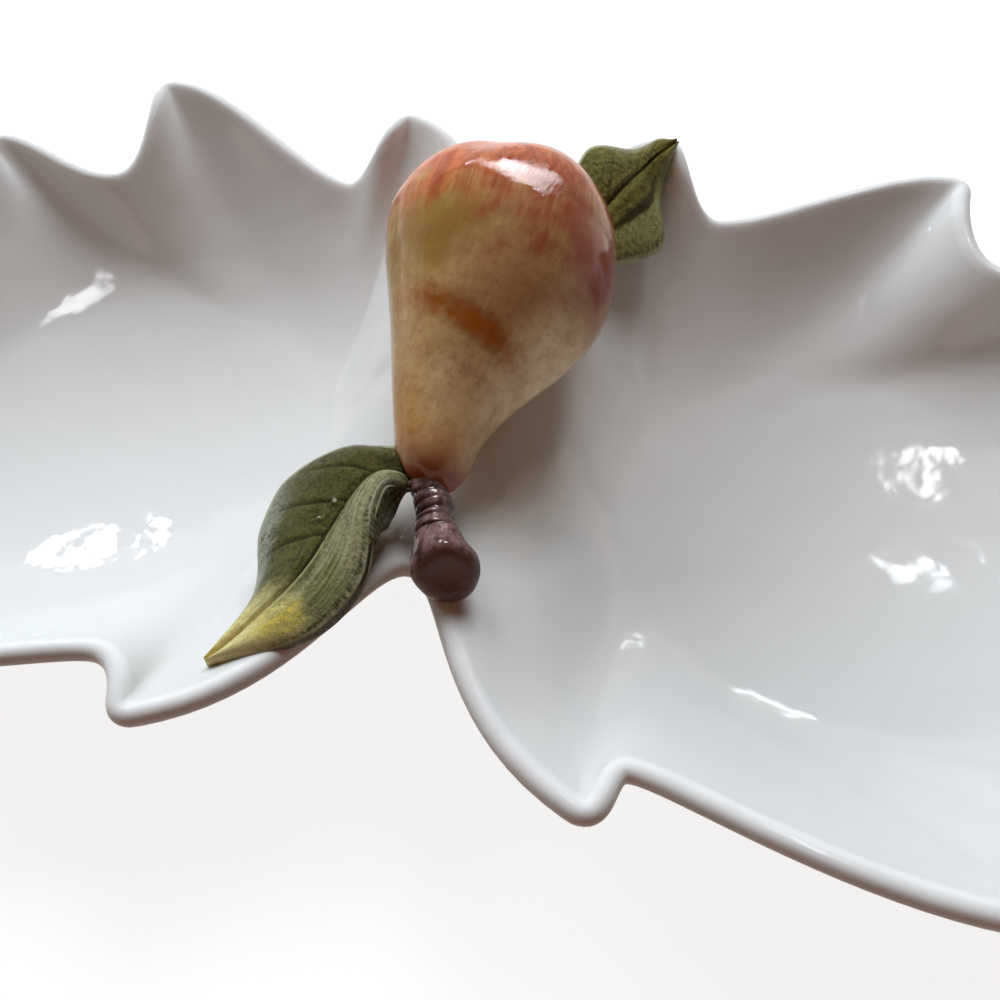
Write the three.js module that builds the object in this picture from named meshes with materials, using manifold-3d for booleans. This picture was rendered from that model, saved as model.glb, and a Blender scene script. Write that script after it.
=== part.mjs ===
// Divided relish dish: two toothed leaf bowls luted at a ridge, with a pear, its stem and two leaves.
// Millimetres, +Z up, resting on z = 0. X runs along the pair of bowls, -Y is the front.

import * as THREE from "three";
import { mergeVertices } from "three/addons/utils/BufferGeometryUtils.js";
import Module from "manifold-3d";

const wasm = await Module();
wasm.setup();

// Bowls: the reach of a leaf from the ridge to its apex, and from the pair's long middle line to either side
const leafLength = 191;
const nearDepth = 89;
const farDepth = 100;
const wall = 5; // clay thickness of the floor and of the ridge
const rimWall = 4.6; // and of the rolled rim
const rimHeight = 44; // table to the middle of the rim in the dips between teeth
const footHeight = 3;
const footWidth = 5;
const footShare = 0.68; // outside of the foot ring, as a share of the floor's reach
const footDraft = 1.2; // slope of each side of the foot ring
const floorCentre = [0.513 * leafLength, 0];
const floorLength = 0.586 * leafLength; // the shallow oval floor, along X
const floorDepth = 98; // and along Y
const floorDish = 9; // rise of the floor from its middle to its edge
const wallFlare = 2.2; // power of the curve that the wall follows from floor to rim
const tipRounding = 4; // length of edge rounded off on each side of a tip
const sideBulge = 0.3; // swell of the short sides of the teeth, as a share of their length
const sideLean = 0.35; // slant of the short side towards the apex
const creaseSpread = 30; // stretch of rim over which the creases are evened out towards the floor
const creaseFade = 2.6; // power by which the teeth fade out down the wall
const creaseLean = 40; // degrees that the creases lean towards the leaf's base
const seam = 0.3; // width of the luted joint between the bowls
const clearance = 0.3; // joint left between any other two pieces

// Each edge of a leaf: its notch at the ridge, the level stretch of rim beside the notch and after each dip,
// and the swell of the first and of the later long slopes as shares of their length
const nearEdge = {
  notch: -0.484 * nearDepth, notchHalfWidth: 11.5, dipHandle: 9, baseBulge: 0.49, slopeBulge: 0.366,
};
const farEdge = {
  notch: 0.62 * farDepth, notchHalfWidth: 6, dipHandle: 14, baseBulge: 0.4, slopeBulge: 0.253,
};
const ridgeSag = 11; // how far the ridge's crest hangs between the notches

// Teeth of a leaf from its base to its apex: the tip, its lift over the dips, and the dip after it.
// Places are shares of the leaf's length and of its reach to that side, lifts are shares of the rim's height.
const nearFirstDip = { left: [0.309, 0.85], right: [0.279, 0.873] }; // cut deeper on the left leaf
const nearTeeth = (side) => [
  { tip: [0.246, 0.996], lift: 0.038, dip: nearFirstDip[side] },
  { tip: [0.676, 1], lift: 0.107, dip: [0.722, 0.776] },
  { tip: [0.906, 0.752], lift: 0.16, dip: [0.9, 0.517] },
];
const farSecondLift = { left: 0.313, right: 0.127 }; // the far second tooth stands higher on the left leaf
const farTeeth = (side) => [
  { tip: [0.2, 0.941], lift: 0.334, dip: [0.286, 0.79] },
  { tip: [0.622, 1], lift: farSecondLift[side], dip: [0.664, 0.723] },
  { tip: [0.9, 0.72], lift: 0.16, dip: [0.895, 0.49] },
];
const apexLift = 0.205;

// Pear, laid on the ridge with its neck to the front
const pearLength = 92;
const pearRadius = 28.5;
const pearBelly = 27; // blossom end to the widest place
const pearNeck = 8; // radius at the stem
const pearNeckRound = 3.5; // rounding of the neck's end
const pearWall = 5;
const pearSeat = { x: 3.3, y: 34.5, sink: 4.5 }; // widest place, and how deep the ridge enters it
const pearDroop = 9; // degrees that the neck dips
const pearSwing = 1.4; // degrees that the neck turns to the left
const pearLean = 2; // sideways swell: the body to the right, then the neck to the left
const dimpleRadius = 9;
const dimpleDepth = 5;
const ventRadius = 2.5; // vent through the underside, over the ridge

// Stem: from the neck to the near notch, places taken from the neck's end
const stemRadius = 4.3;
const stemFlare = 2.6; // added radius at the cut end
const stemFlareStart = 0.55; // share of the length where the stem begins to widen
const stemRoot = 5; // length let into the neck
const stemBend = [[2.4, -5, -1], [5, -11.5, -1.2]];
const stemEnd = [8.8, -19, 0];
const stemCut = [0.3, -0.82, 0.5]; // direction that the cut face looks
const stemRings = 4; // wrinkles round the stem
const stemRingDepth = 0.35;
const stemLip = 0.8; // rounded edge of the cut face

// Leaves: thickness, and rails from base to tip for the midrib and both edges
const leafThickness = 2.6;
const leafBow = 1.6; // rise of each half between midrib and edge
const leafEdgeThinning = 0.45; // share of the thickness lost at the edge
const frontLeaf = { // places taken from the neck's end
  midrib: [[-5, 1, 1], [-12.7, -1.1, -0.5], [-17.8, -11.3, -2.8], [-21.3, -23.8, -4], [-36, -44.5, -9.5]],
  left: [
    [-8.9, 7.6, 2.9], [-23, 9.5, -3.3], [-37.4, 2.3, -11.4], [-38.2, -9.9, -12.8], [-32.5, -26.1, -10],
    [-36, -44.5, -9.5],
  ],
  right: [
    [-3.5, -1, 2], [-7.7, -3.4, 6.2], [-7.6, -11.3, 6.7], [-6.9, -23.9, 1.5], [-13.9, -35.1, -3.8],
    [-36, -44.5, -9.5],
  ],
};
const rearLeaf = { // places taken from the tip of the far first tooth
  midrib: [[-22.7, -39.1, -9.7], [-8.9, -20.8, 0.8], [-5.2, -13, 1], [1.9, -3.7, 2.8]],
  left: [[-24.7, -33.1, -3.7], [-20.8, -11.9, 3.8], [-9.4, -6.3, 1.2], [-3.1, -2.4, 2], [1.9, -3.7, 2.8]],
  right: [
    [-18.7, -42.1, -12.7], [-4.7, -36.9, -10.1], [2.1, -30.1, -10.4], [-0.5, -18.2, -6.5], [1.2, -8.8, -0.3],
    [1.9, -3.7, 2.8],
  ],
};

// Fineness of the surfaces
const slopeSteps = 8;
const tipSteps = 4;
const sideSteps = 5;
const ridgeSteps = 9;
const floorSteps = 3;
const wallSteps = 8;
const rollSteps = 4;
const leafSteps = 16;
const leafHalfSteps = 4;
const pearAround = 28;
const pearAlong = 20;
const stemAround = 14;
const stemAlong = 18;

const weld = 1e-4; // distance under which two corners are one

const point = (place) => new THREE.Vector3(...place);
const rimPoint = (x, y, lift = 0) => new THREE.Vector3(x, y, rimHeight * (1 + lift));
const onLeaf = ([length, reach], side, lift) => rimPoint(length * leafLength, reach * side, lift);
const apexTip = rimPoint(leafLength, 0, apexLift);
const flat = (vector) => new THREE.Vector3(vector.x, vector.y, 0).normalize();

// Closed skin over a row of closed loops, each with the same number of points, capped by a point at each end.
function loft(startPole, loops, endPole) {
  const count = loops[0].length;
  const places = [startPole, ...loops.flat(), endPole];
  const at = (row, column) => 1 + row * count + (column % count);
  const last = places.length - 1;
  const faces = [];
  for (let column = 0; column < count; column += 1) {
    faces.push(0, at(0, column), at(0, column + 1));
    for (let row = 0; row + 1 < loops.length; row += 1) {
      faces.push(at(row, column), at(row + 1, column), at(row + 1, column + 1));
      faces.push(at(row, column), at(row + 1, column + 1), at(row, column + 1));
    }
    faces.push(at(loops.length - 1, column), last, at(loops.length - 1, column + 1));
  }
  const geometry = new THREE.BufferGeometry().setFromPoints(places);
  geometry.setIndex(faces);
  return facingOut(geometry);
}

// Turns every face round when the skin encloses a negative volume.
function facingOut(geometry) {
  const position = geometry.attributes.position;
  const index = geometry.index.array;
  const [a, b, c] = [new THREE.Vector3(), new THREE.Vector3(), new THREE.Vector3()];
  let volume = 0;
  for (let i = 0; i < index.length; i += 3) {
    a.fromBufferAttribute(position, index[i]);
    b.fromBufferAttribute(position, index[i + 1]);
    c.fromBufferAttribute(position, index[i + 2]);
    volume += a.dot(b.cross(c));
  }
  if (volume < 0) geometry.setIndex(Array.from(index).reverse());
  return geometry;
}

function toSolid(geometry) {
  const bare = geometry.clone();
  bare.deleteAttribute("normal");
  bare.deleteAttribute("uv");
  const joined = mergeVertices(bare, weld);
  return new wasm.Manifold(new wasm.Mesh({
    numProp: 3,
    vertProperties: new Float32Array(joined.attributes.position.array),
    triVerts: new Uint32Array(joined.index.array),
  }));
}

function toGeometry(solid) {
  const mesh = solid.getMesh();
  const geometry = new THREE.BufferGeometry();
  geometry.setAttribute("position", new THREE.BufferAttribute(mesh.vertProperties, 3));
  geometry.setIndex(new THREE.BufferAttribute(mesh.triVerts, 1));
  return geometry;
}

// A piece as its neighbours leave it: each neighbour, grown by the joint, is taken out of it.
function seated(geometry, neighbours) {
  let solid = toSolid(geometry);
  for (const neighbour of neighbours) solid = solid.subtract(toSolid(neighbour));
  return toGeometry(solid);
}

function mirrored(geometry) {
  const copy = geometry.clone().applyMatrix4(new THREE.Matrix4().makeScale(-1, 1, 1));
  return facingOut(copy);
}

// Leaf outline

// Edge of the leaf from a notch to the apex: long slopes to rounded tips, and short sides into the dips.
// The reach is negative for the near edge.
function leafEdge(line, teeth, reach) {
  const pieces = [];
  const tips = [...teeth.map(({ tip, lift }) => onLeaf(tip, reach, lift)), apexTip];
  let start = rimPoint(0, line.notch);
  let heading = new THREE.Vector3(1, 0, 0);
  let startHandle = line.notchHalfWidth;
  let bulge = line.baseBulge;
  tips.forEach((tip, i) => {
    const next = tips[i + 1];
    const slope = tip.distanceTo(start);
    const onward = next ? flat(next.clone().sub(tip)) : new THREE.Vector3();
    const arrive = flat(tip.clone().sub(start)).add(onward).normalize();
    const tipStart = tip.clone().addScaledVector(arrive, -tipRounding);
    pieces.push({ steps: slopeSteps, curve: new THREE.CubicBezierCurve3(
      start,
      start.clone().addScaledVector(heading, startHandle),
      tipStart.clone().addScaledVector(arrive, -slope * bulge),
      tipStart,
    ) });
    if (!next) return;
    const dip = onLeaf(teeth[i].dip, reach);
    const inward = new THREE.Vector3(0, -Math.sign(reach), 0);
    inward.addScaledVector(onward, -inward.dot(onward)).normalize();
    const leave = inward.addScaledVector(onward, sideLean).normalize();
    const tipEnd = tip.clone().addScaledVector(leave, tipRounding);
    const side = dip.distanceTo(tip);
    pieces.push({ steps: tipSteps, curve: new THREE.QuadraticBezierCurve3(tipStart, tip, tipEnd) });
    pieces.push({ steps: sideSteps, curve: new THREE.CubicBezierCurve3(
      tipEnd,
      tipEnd.clone().addScaledVector(leave, side * sideBulge),
      dip.clone().addScaledVector(onward, -side * sideBulge),
      dip,
    ) });
    start = dip;
    heading = onward;
    startHandle = line.dipHandle;
    bulge = line.slopeBulge;
  });
  const places = pieces.flatMap(({ steps, curve }) => curve.getPoints(steps).slice(0, -1));
  return [...places, pieces.at(-1).curve.getPoint(1)];
}

function ridgeCurve() {
  const near = rimPoint(0, nearEdge.notch);
  const far = rimPoint(0, farEdge.notch);
  const third = (farEdge.notch - nearEdge.notch) / 3;
  return new THREE.CubicBezierCurve3(
    far,
    far.clone().add(new THREE.Vector3(0, -third, -ridgeSag)),
    near.clone().add(new THREE.Vector3(0, third, -ridgeSag)),
    near,
  );
}

// Middle of the rim right round the leaf, and how far each place belongs to the ridge: 1 on it, 0 past a tip.
function rimLoop(side) {
  const near = leafEdge(nearEdge, nearTeeth(side), -nearDepth);
  const far = leafEdge(farEdge, farTeeth(side), farDepth).reverse();
  const apexCurve = new THREE.QuadraticBezierCurve3(near.at(-1), apexTip, far[0]);
  const apexTurn = apexCurve.getPoints(tipSteps).slice(1, -1);
  const ridge = ridgeCurve().getPoints(ridgeSteps).slice(1, -1);
  const fade = (place, tooth) => 1 - THREE.MathUtils.smoothstep(place.x, 0, tooth.tip[0] * leafLength);
  return [
    ...near.map((place) => ({ place, ridge: fade(place, nearTeeth(side)[0]) })),
    ...apexTurn.map((place) => ({ place, ridge: 0 })),
    ...far.map((place) => ({ place, ridge: fade(place, farTeeth(side)[0]) })),
    ...ridge.map((place) => ({ place, ridge: 1 })),
  ];
}

// Middle of the clay of the dished floor, at a share of the way from its centre to its edge, and its slope.
const floorHeight = (share) => footHeight + wall / 2 + floorDish * share * share;
const floorSlope = ({ x, y }) => new THREE.Vector3(
  (2 * floorDish * (x - floorCentre[0])) / (floorLength / 2) ** 2,
  (2 * floorDish * (y - floorCentre[1])) / (floorDepth / 2) ** 2,
  0,
);

// The rim evened out over a stretch on either side of each point, and the floor point that lies below it.
// Bearings from the floor's centre lean towards the leaf's base, as the creases under the teeth do.
function evened(rim) {
  const [x, y] = floorCentre;
  const bearings = [];
  const reached = [];
  rim.forEach(({ place }, i) => {
    let bearing = Math.atan2(place.y - y, place.x - x);
    while (i > 0 && bearing < bearings[i - 1] - Math.PI) bearing += 2 * Math.PI;
    bearings.push(bearing);
    reached.push(i > 0 ? reached[i - 1] + place.distanceTo(rim[i - 1].place) : 0);
  });
  const total = reached.at(-1) + rim.at(-1).place.distanceTo(rim[0].place);
  return rim.map((_, i) => {
    const edge = new THREE.Vector3();
    let [bearing, weights] = [0, 0];
    rim.forEach(({ place }, j) => {
      const turns = Math.round((reached[j] - reached[i]) / total);
      const distance = reached[j] - reached[i] - turns * total;
      const next = reached[j + 1] ?? total;
      const before = reached[j - 1] ?? reached.at(-1) - total;
      const weight = Math.exp(-((distance / creaseSpread) ** 2)) * (next - before);
      edge.addScaledVector(place, weight);
      bearing += weight * (bearings[j] - turns * 2 * Math.PI);
      weights += weight;
    });
    edge.divideScalar(weights);
    bearing /= weights;
    bearing += THREE.MathUtils.degToRad(creaseLean) * Math.sin(bearing);
    const floor = new THREE.Vector3(
      x + (floorLength / 2) * Math.cos(bearing),
      y + (floorDepth / 2) * Math.sin(bearing),
      floorHeight(1),
    );
    return { edge, floor };
  });
}

// One bowl, as a right-hand one, in a closed skin. Growing it thickens it all round and laps it over
// the seam, to cut the pieces that sit on it.
function bowl(side, grow = 0) {
  const rim = rimLoop(side);
  const even = evened(rim);
  const middle = [];
  for (let step = 0; step <= wallSteps; step += 1) {
    const share = step / wallSteps;
    middle.push(rim.map(({ place, ridge }, i) => {
      const { edge: evenEdge, floor } = even[i];
      const edge = evenEdge.clone().lerp(place, share ** creaseFade);
      const takenOver = floorSlope(floor).dot(evenEdge.clone().sub(floor)) / (evenEdge.z - floor.z);
      const bowlCurve = THREE.MathUtils.lerp(share ** wallFlare, share, takenOver);
      const ridgeCurl = share * share * (3 - 2 * share) + takenOver * share * (1 - share) ** 2;
      const climb = THREE.MathUtils.lerp(bowlCurve, ridgeCurl, ridge);
      const height = THREE.MathUtils.lerp(floor.z, edge.z, climb);
      return floor.clone().lerp(edge, share).setZ(height);
    }));
  }
  const onRidge = (i) => rim[i].place.x === 0;
  const isNotch = (i) => onRidge(i) && (i === 0 || !onRidge(i - 1));
  const lapped = (loop) => loop.map((spot, i) => (onRidge(i) ? spot.setX(-2 * grow) : spot));
  const around = (row, i) => row[(i + row.length) % row.length];
  const half = (step, i) => {
    const thinning = (1 - rim[i].ridge) * (step / wallSteps);
    return THREE.MathUtils.lerp(wall, rimWall, thinning) / 2 + grow;
  };
  const floorFacing = (spot) => new THREE.Vector3(0, 0, 1).sub(floorSlope(spot)).normalize();
  const normal = (step, i) => {
    if (step === 0) return floorFacing(middle[0][i]);
    const across = around(middle[step], i + 1).clone().sub(around(middle[step], i - 1));
    const upward = middle[Math.min(step + 1, wallSteps)][i].clone().sub(middle[step - 1][i]);
    const facing = upward.cross(across).normalize();
    if (step === wallSteps && onRidge(i)) facing.setX(0).normalize();
    return facing;
  };
  const inside = middle.map((row, step) => row.map((spot, i) => (
    spot.clone().addScaledVector(normal(step, i), half(step, i)))));
  const outside = middle.map((row, step) => row.map((spot, i) => (
    spot.clone().addScaledVector(normal(step, i), -half(step, i)))));
  const roll = [];
  for (let step = 1; step < rollSteps; step += 1) {
    const angle = (Math.PI * step) / rollSteps;
    roll.push(middle[wallSteps].map((spot, i) => {
      const facing = normal(wallSteps, i);
      const along = around(middle[wallSteps], i + 1).clone().sub(around(middle[wallSteps], i - 1));
      const outward = along.cross(facing);
      if (onRidge(i)) outward.setX(0);
      const size = half(wallSteps, i);
      const reach = onRidge(i) && !isNotch(i) ? 0 : size * Math.sin(angle);
      return spot.clone().addScaledVector(facing, size * Math.cos(angle))
        .addScaledVector(outward.normalize(), reach);
    }));
  }
  const centre = new THREE.Vector3(...floorCentre, floorHeight(0));
  const depth = wall / 2 + grow;
  const onFloor = ({ floor }, share) => centre.clone().lerp(floor, share).setZ(floorHeight(share));
  const floorTop = [];
  for (let step = 1; step < floorSteps; step += 1) {
    const spots = even.map((place) => onFloor(place, step / floorSteps));
    floorTop.push(spots.map((spot) => spot.addScaledVector(floorFacing(spot), depth)));
  }
  const underFloor = (inset, isOnTable) => even.map((place) => {
    const share = footShare - inset / place.floor.distanceTo(centre);
    const spot = onFloor(place, share);
    return spot.setZ(isOnTable ? -grow : spot.z - depth);
  });
  const foot = [
    underFloor(0, false),
    underFloor(footDraft, true),
    underFloor(footDraft + footWidth, true),
    underFloor(2 * footDraft + footWidth, false),
  ];
  const edge = [inside.pop(), ...roll, outside.pop()].map(lapped);
  const loops = [...floorTop, ...inside, ...edge, ...outside.reverse(), ...foot];
  const pole = (offset) => centre.clone().setZ(floorHeight(0) + offset);
  return loft(pole(depth), loops, pole(-depth));
}

// Pear

// Radius at a distance from the blossom end: an elliptic base, a swelling line, and a rounded neck end.
function pearRadiusAt(distance) {
  if (distance < pearBelly) return pearRadius * Math.sqrt(1 - (1 - distance / pearBelly) ** 2);
  const share = (distance - pearBelly) / (pearLength - pearBelly);
  const line = pearNeck + (pearRadius - pearNeck) * (0.5 + 0.5 * Math.cos(Math.PI * share));
  const past = Math.max(0, 1 - (pearLength - distance) / pearNeckRound);
  return line - pearNeckRound * (1 - Math.sqrt(1 - past * past));
}

const pearSwell = (distance) => {
  const share = Math.max(0, (distance - pearBelly) / (pearLength - pearBelly));
  return pearLean * Math.sin(2 * Math.PI * share);
};

function pearLoop(distance, radius, along = distance) {
  const loop = [];
  for (let step = 0; step < pearAround; step += 1) {
    const angle = (2 * Math.PI * step) / pearAround;
    const x = pearSwell(distance) + radius * Math.cos(angle);
    loop.push(new THREE.Vector3(x, radius * Math.sin(angle), along));
  }
  return loop;
}

// Outer skin along +Z from the blossom end to the neck, with the blossom dimple pressed in.
function pearSkin(grow = 0) {
  const loops = [];
  for (let step = 1; step <= pearAlong; step += 1) {
    const distance = pearLength * (1 - Math.cos((Math.PI / 2) * (step / pearAlong)));
    const radius = pearRadiusAt(distance);
    const press = Math.max(0, 1 - (radius / dimpleRadius) ** 2);
    const atBlossom = distance < pearBelly;
    const along = atBlossom ? distance + dimpleDepth * press ** 2 - grow : distance;
    loops.push(pearLoop(distance, radius + grow, along));
  }
  const neckEnd = loops.at(-1).map((spot) => spot.clone().setZ(pearLength + grow));
  if (grow > 0) loops.push(neckEnd);
  return loft(new THREE.Vector3(0, 0, dimpleDepth - grow), loops, new THREE.Vector3(0, 0, pearLength + grow));
}

// Hollow inside the pear, ending where the neck becomes too slim for it.
function pearCavity() {
  let end = pearLength;
  while (pearRadiusAt(end) < 2 * pearWall) end -= 1;
  const start = dimpleDepth + pearWall;
  const loops = [];
  const steps = pearAlong / 2;
  for (let step = 0; step <= steps; step += 1) {
    const distance = start + ((end - start) * step) / steps;
    loops.push(pearLoop(distance, pearRadiusAt(distance) - pearWall));
  }
  return loft(new THREE.Vector3(0, 0, start), loops, new THREE.Vector3(0, 0, end));
}

function pearVent() {
  const vent = new THREE.CylinderGeometry(ventRadius, ventRadius, pearRadius, stemAround);
  return vent.translate(0, -pearRadius, pearBelly);
}

// Stem

// Loops along a curve from the neck to the cut end, which turns to look along the cut's direction.
function stemSkin(start, direction, grow = 0) {
  const places = [start.clone().addScaledVector(direction, -stemRoot), start];
  for (const place of [...stemBend, stemEnd]) places.push(start.clone().add(point(place)));
  const curve = new THREE.CatmullRomCurve3(places);
  const cut = point(stemCut).normalize();
  const loops = [];
  const circle = (middle, looks, radius) => {
    const side = new THREE.Vector3(0, 0, 1).cross(looks).normalize();
    const top = looks.clone().cross(side);
    const loop = [];
    for (let step = 0; step < stemAround; step += 1) {
      const angle = (2 * Math.PI * step) / stemAround;
      loop.push(middle.clone().addScaledVector(side, radius * Math.cos(angle))
        .addScaledVector(top, radius * Math.sin(angle)));
    }
    return loop;
  };
  for (let step = 0; step <= stemAlong; step += 1) {
    const share = step / stemAlong;
    const turn = THREE.MathUtils.smoothstep(share, stemFlareStart, 1);
    const looks = curve.getTangent(share).lerp(cut, turn).normalize();
    const wrinkle = stemRingDepth * (0.5 - 0.5 * Math.cos(2 * Math.PI * stemRings * share));
    const radius = stemRadius - wrinkle + stemFlare * turn + grow;
    loops.push(circle(curve.getPoint(share), looks, radius));
  }
  const end = curve.getPoint(1);
  const lip = end.clone().addScaledVector(cut, stemLip + grow);
  loops.push(circle(lip, cut, stemRadius + stemFlare - stemLip + grow));
  return loft(places[0], loops, lip);
}

// Leaves

// Leaf between three rails: each half bows up between midrib and edge, and thins to its edge.
function leafSkin(rails) {
  const [midrib, left, right] = [rails.midrib, rails.left, rails.right]
    .map((places) => new THREE.CatmullRomCurve3(places.map(point)));
  const loops = [];
  for (let step = 0; step < leafSteps; step += 1) {
    const share = step / leafSteps;
    const spine = midrib.getPoint(share);
    const along = midrib.getTangent(share);
    const facing = (across) => along.clone().cross(across).normalize();
    const toLeft = left.getPoint(share).sub(spine);
    const toRight = right.getPoint(share).sub(spine);
    const leftFace = facing(toLeft).negate();
    const rightFace = facing(toRight);
    const top = [];
    const underside = [];
    for (let column = -leafHalfSteps; column <= leafHalfSteps; column += 1) {
      const out = Math.abs(column) / leafHalfSteps;
      const isLeft = column < 0;
      const spot = spine.clone().addScaledVector(isLeft ? toLeft : toRight, out);
      const half = isLeft ? leftFace : rightFace;
      const face = leftFace.clone().add(rightFace).normalize().lerp(half, out).normalize();
      if (face.z < 0) face.negate();
      spot.addScaledVector(face, leafBow * 4 * out * (1 - out));
      const thick = leafThickness * (1 - leafEdgeThinning * out * out);
      top.push(spot.clone().addScaledVector(face, thick / 2));
      underside.push(spot.clone().addScaledVector(face, -thick / 2));
    }
    loops.push([...top, ...underside.reverse()]);
  }
  return loft(midrib.getPoint(0), loops, midrib.getPoint(1));
}

// Assembly

const glaze = {
  white: { color: 0xe4e3de, roughness: 0.12, metalness: 0 },
  pear: { color: 0xb08a48, roughness: 0.18, metalness: 0 },
  stem: { color: 0x54392c, roughness: 0.2, metalness: 0 },
  leaf: { color: 0x5d5c30, roughness: 0.2, metalness: 0 },
};

const root = new THREE.Group();
root.name = "divided_relish_dish";

function holder(parent) {
  const group = new THREE.Group();
  parent.add(group);
  return group;
}

const inDish = (geometry, group) => {
  group.updateWorldMatrix(true, false);
  return geometry.clone().applyMatrix4(group.matrixWorld);
};

// Adds a piece to its group, after taking its neighbours out of it where they meet.
function addPiece(name, geometry, group, finish, neighbours) {
  const cut = seated(inDish(geometry, group), neighbours);
  cut.applyMatrix4(group.matrixWorld.clone().invert());
  const mesh = new THREE.Mesh(cut, new THREE.MeshStandardMaterial(finish));
  mesh.name = name;
  group.add(mesh);
}

const rightBowl = holder(root);
rightBowl.position.x = seam / 2;
const leftBowl = holder(root);
leftBowl.position.x = -seam / 2;
addPiece("right_leaf_bowl", bowl("right"), rightBowl, glaze.white, []);
addPiece("left_leaf_bowl", mirrored(bowl("left")), leftBowl, glaze.white, []);
const rightKeepOut = inDish(bowl("right", clearance), rightBowl);
const leftKeepOut = inDish(mirrored(bowl("left", clearance)), leftBowl);

const pear = holder(root);
const seatShare = (farEdge.notch - pearSeat.y) / (farEdge.notch - nearEdge.notch);
const crest = ridgeCurve().getPoint(seatShare).z + wall / 2;
const droop = THREE.MathUtils.degToRad(pearDroop);
const swing = THREE.MathUtils.degToRad(pearSwing);
pear.rotation.set(Math.PI / 2 + droop, 0, -swing, "ZYX");
const pearAxis = new THREE.Vector3(0, 0, 1).applyEuler(pear.rotation);
pear.position.set(pearSeat.x, pearSeat.y, crest + pearRadius - pearSeat.sink);
pear.position.addScaledVector(pearAxis, -pearBelly);
const hollows = [pearCavity(), pearVent()].map((hollow) => inDish(hollow, pear));
addPiece("pear_body", pearSkin(), pear, glaze.pear, [...hollows, rightKeepOut, leftKeepOut]);
const pearKeepOut = inDish(pearSkin(clearance), pear);

const neckEnd = pear.position.clone().addScaledVector(pearAxis, pearLength);
const stem = holder(root);
stem.position.copy(neckEnd);
const origin = new THREE.Vector3();
addPiece("pear_stem", stemSkin(origin, pearAxis), stem, glaze.stem, [pearKeepOut, rightKeepOut, leftKeepOut]);
const stemKeepOut = inDish(stemSkin(origin, pearAxis, clearance), stem);

const frontSpray = holder(root);
frontSpray.position.copy(neckEnd);
addPiece("front_leaf", leafSkin(frontLeaf), frontSpray, glaze.leaf,
  [pearKeepOut, stemKeepOut, leftKeepOut, rightKeepOut]);

const rearSpray = holder(root);
const farFirst = farTeeth("right")[0];
rearSpray.position.copy(onLeaf(farFirst.tip, farDepth, farFirst.lift));
addPiece("rear_leaf", leafSkin(rearLeaf), rearSpray, glaze.leaf, [pearKeepOut, rightKeepOut, leftKeepOut]);

// The middle of the overall box stands over the origin.
const middle = new THREE.Box3().setFromObject(root).getCenter(new THREE.Vector3());
root.position.set(-middle.x, -middle.y, 0);

export default root;
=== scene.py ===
import math

import bmesh
import bpy
import numpy as np
from mathutils import Matrix, Vector


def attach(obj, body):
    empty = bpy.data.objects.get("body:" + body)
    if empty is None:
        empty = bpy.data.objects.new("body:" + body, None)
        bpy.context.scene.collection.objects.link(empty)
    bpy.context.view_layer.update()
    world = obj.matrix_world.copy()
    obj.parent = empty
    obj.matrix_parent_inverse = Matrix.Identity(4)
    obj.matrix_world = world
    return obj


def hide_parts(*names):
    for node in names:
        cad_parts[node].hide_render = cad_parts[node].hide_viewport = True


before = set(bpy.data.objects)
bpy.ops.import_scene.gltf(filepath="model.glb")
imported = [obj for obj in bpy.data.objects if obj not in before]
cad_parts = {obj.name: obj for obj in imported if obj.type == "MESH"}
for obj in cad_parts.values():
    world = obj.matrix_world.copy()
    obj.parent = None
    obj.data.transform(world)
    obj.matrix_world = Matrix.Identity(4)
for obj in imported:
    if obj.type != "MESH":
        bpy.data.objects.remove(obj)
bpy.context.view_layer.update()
print("frame loaded with", len(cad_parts), "solids")

mm = 0.001
frameShift = np.array([0, -5.027, 0])  # mm, the dish's own middle stands over the origin


def unit(vectors):
    return vectors / np.maximum(np.linalg.norm(vectors, axis=-1, keepdims=True), 1e-9)


def flat(vectors):  # their way in plan
    return unit(vectors * (1, 1, 0))


def ease(values, low, high):
    share = np.clip((values - low) / (high - low), 0, 1)
    return share * share * (3 - 2 * share)


def bezier(points, steps):
    p = np.array(points, float)
    t = np.linspace(0, 1, steps + 1)[:, None]
    if len(p) == 3:
        return (1 - t) ** 2 * p[0] + 2 * t * (1 - t) * p[1] + t * t * p[2]
    return (1 - t) ** 3 * p[0] + 3 * t * (1 - t) ** 2 * p[1] + 3 * t * t * (1 - t) * p[2] + t ** 3 * p[3]


def rail(points, shares):  # smooth line through a few points
    p = np.array(points, float)
    p = np.vstack([2 * p[0] - p[1], p, 2 * p[-1] - p[-2]])
    place = np.clip(shares, 0, 1) * (len(p) - 3)
    first = np.minimum(place.astype(int), len(p) - 4)
    t = (place - first)[:, None]
    p0, p1, p2, p3 = (p[first + k] for k in range(4))
    d0, d1, d2 = (np.sqrt(np.linalg.norm(b - a, axis=1))[:, None] for a, b in ((p0, p1), (p1, p2), (p2, p3)))
    leave = ((p1 - p0) / d0 - (p2 - p0) / (d0 + d1) + (p2 - p1) / d1) * d1
    arrive = ((p2 - p1) / d1 - (p3 - p1) / (d1 + d2) + (p3 - p2) / d2) * d1
    return p1 + leave * t + (3 * (p2 - p1) - 2 * leave - arrive) * t ** 2 + (2 * (p1 - p2) + leave + arrive) * t ** 3


def unevenness(points, wavelength, seed):  # about -1 to 1, like clay shaped by hand
    dice, waves = np.random.default_rng(seed), 9
    ways = unit(dice.normal(size=(waves, 3))) * 2 * math.pi / (wavelength * dice.uniform(0.7, 1.6, (waves, 1)))
    return np.sin(points @ ways.T + dice.uniform(0, 2 * math.pi, waves)).sum(axis=-1) / math.sqrt(waves)


def bridge(rowA, rowB, count):  # quads between two closed rows
    return [(rowA + i, rowB + i, rowB + (i + 1) % count, rowA + (i + 1) % count) for i in range(count)]


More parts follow.
